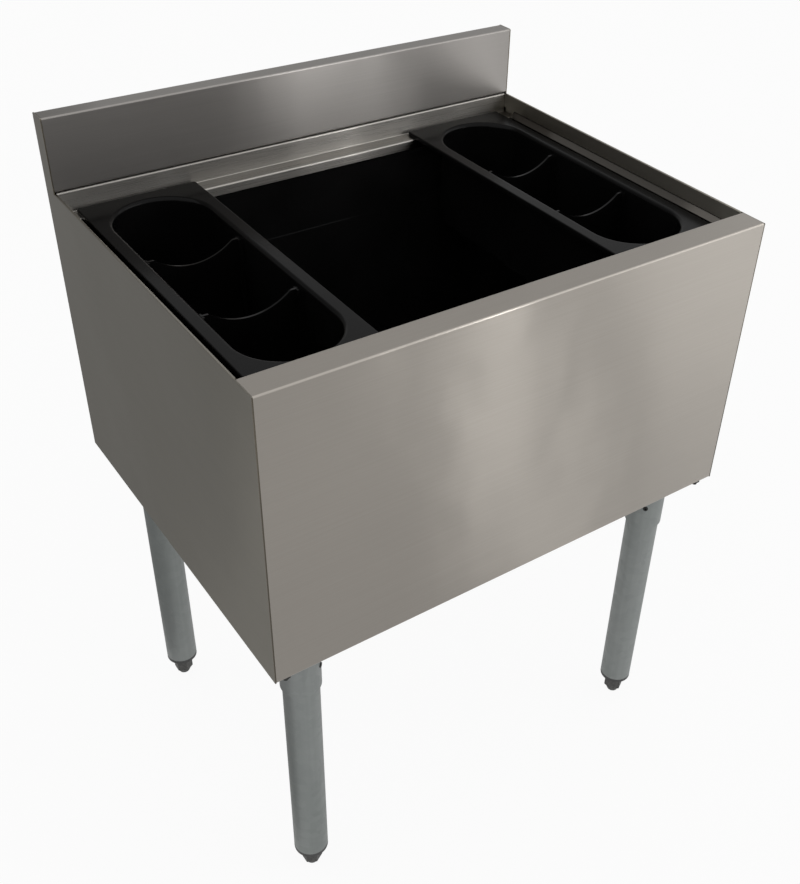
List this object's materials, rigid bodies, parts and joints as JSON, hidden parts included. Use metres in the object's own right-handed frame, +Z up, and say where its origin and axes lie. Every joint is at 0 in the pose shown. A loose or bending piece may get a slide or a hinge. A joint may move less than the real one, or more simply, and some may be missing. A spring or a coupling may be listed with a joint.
{
  "type": "underbar ice bin",
  "caption": "Free-standing stainless underbar ice bin with backsplash, stepped rim, moulded liner and drain, lift-out bottle wells with dividers, and legs with levelling feet.",
  "frame": {"origin": "on the floor below the middle of the box, at the bottom of the feet", "axes": "+Z up, front at -Y, +X to the right seen from the front"},
  "size_m": [0.61, 0.475, 0.833],
  "materials": {
    "stainless_sheet": "brushed",
    "galvanised_steel": "galvanised",
    "liner_plastic": "gloss",
    "well_plastic": "satin",
    "divider_plastic": "satin",
    "foam_board": "rigid foam",
    "plug_plastic": "matte",
    "foot_metal": "dark grey",
    "gasket_rubber": "matte",
    "drain_steel": "turned",
    "nut_brass": "satin",
    "zinc_fastener": "zinc plated",
    "dark_fastener": "black oxide",
    "rivet_aluminium": "satin"
  },
  "bodies": {
    "bin": {"back_panel": "stainless_sheet", "back_panel_rivets": "rivet_aluminium", "backsplash": "stainless_sheet", "bin_liner": "liner_plastic", "bottom_insulation": "foam_board", "bottom_panel": "stainless_sheet", "corner_bolts": "dark_fastener", "corner_nuts": "dark_fastener", "drain_body": "drain_steel", "drain_gasket": "gasket_rubber", "drain_locknut": "nut_brass", "drain_washer": "drain_steel", "front_insulation": "foam_board", "front_panel": "stainless_sheet", "front_rim": "stainless_sheet", "left_front_leg": "galvanised_steel", "left_front_plug": "plug_plastic", "left_front_socket": "galvanised_steel", "left_insulation": "foam_board", "left_rear_leg": "galvanised_steel", "left_rear_plug": "plug_plastic", "left_rear_socket": "galvanised_steel", "left_rim": "stainless_sheet", "left_side_panel": "stainless_sheet", "rear_insulation": "foam_board", "rear_rim": "stainless_sheet", "right_front_leg": "galvanised_steel", "right_front_plug": "plug_plastic", "right_front_socket": "galvanised_steel", "right_insulation": "foam_board", "right_rear_leg": "galvanised_steel", "right_rear_plug": "plug_plastic", "right_rear_socket": "galvanised_steel", "right_rim": "stainless_sheet", "right_side_panel": "stainless_sheet", "set_screws": "dark_fastener", "socket_bolts": "zinc_fastener", "socket_nuts": "zinc_fastener"},
    "left_well": {"left_bottle_well": "well_plastic"},
    "left_front_divider": {"left_front_divider": "divider_plastic"},
    "left_rear_divider": {"left_rear_divider": "divider_plastic"},
    "right_well": {"right_bottle_well": "well_plastic"},
    "right_front_divider": {"right_front_divider": "divider_plastic"},
    "right_rear_divider": {"right_rear_divider": "divider_plastic"},
    "left_front_foot": {"left_front_foot": "foot_metal"},
    "right_front_foot": {"right_front_foot": "foot_metal"},
    "left_rear_foot": {"left_rear_foot": "foot_metal"},
    "right_rear_foot": {"right_rear_foot": "foot_metal"},
    "strainer": {"drain_strainer": "drain_steel"}
  },
  "joints": [
    {"name": "left_well_lift", "type": "slide", "parent": "bin", "child": "left_well", "axis": [0, 0, 1], "range_m": [0, 0.2]},
    {"name": "left_front_divider_lift", "type": "slide", "parent": "left_well", "child": "left_front_divider", "axis": [0, 0, 1], "range_m": [0, 0.12]},
    {"name": "left_rear_divider_lift", "type": "slide", "parent": "left_well", "child": "left_rear_divider", "axis": [0, 0, 1], "range_m": [0, 0.12]},
    {"name": "right_well_lift", "type": "slide", "parent": "bin", "child": "right_well", "axis": [0, 0, 1], "range_m": [0, 0.2]},
    {"name": "right_front_divider_lift", "type": "slide", "parent": "right_well", "child": "right_front_divider", "axis": [0, 0, 1], "range_m": [0, 0.12]},
    {"name": "right_rear_divider_lift", "type": "slide", "parent": "right_well", "child": "right_rear_divider", "axis": [0, 0, 1], "range_m": [0, 0.12]},
    {"name": "left_front_foot_screw", "type": "slide", "parent": "bin", "child": "left_front_foot", "axis": [0, 0, -1], "range_m": [0, 0.025]},
    {"name": "right_front_foot_screw", "type": "slide", "parent": "bin", "child": "right_front_foot", "axis": [0, 0, -1], "range_m": [0, 0.025]},
    {"name": "left_rear_foot_screw", "type": "slide", "parent": "bin", "child": "left_rear_foot", "axis": [0, 0, -1], "range_m": [0, 0.025]},
    {"name": "right_rear_foot_screw", "type": "slide", "parent": "bin", "child": "right_rear_foot", "axis": [0, 0, -1], "range_m": [0, 0.025]},
    {"name": "strainer_lift", "type": "slide", "parent": "bin", "child": "strainer", "axis": [0, 0, 1], "range_m": [0, 0.3]}
  ]
}
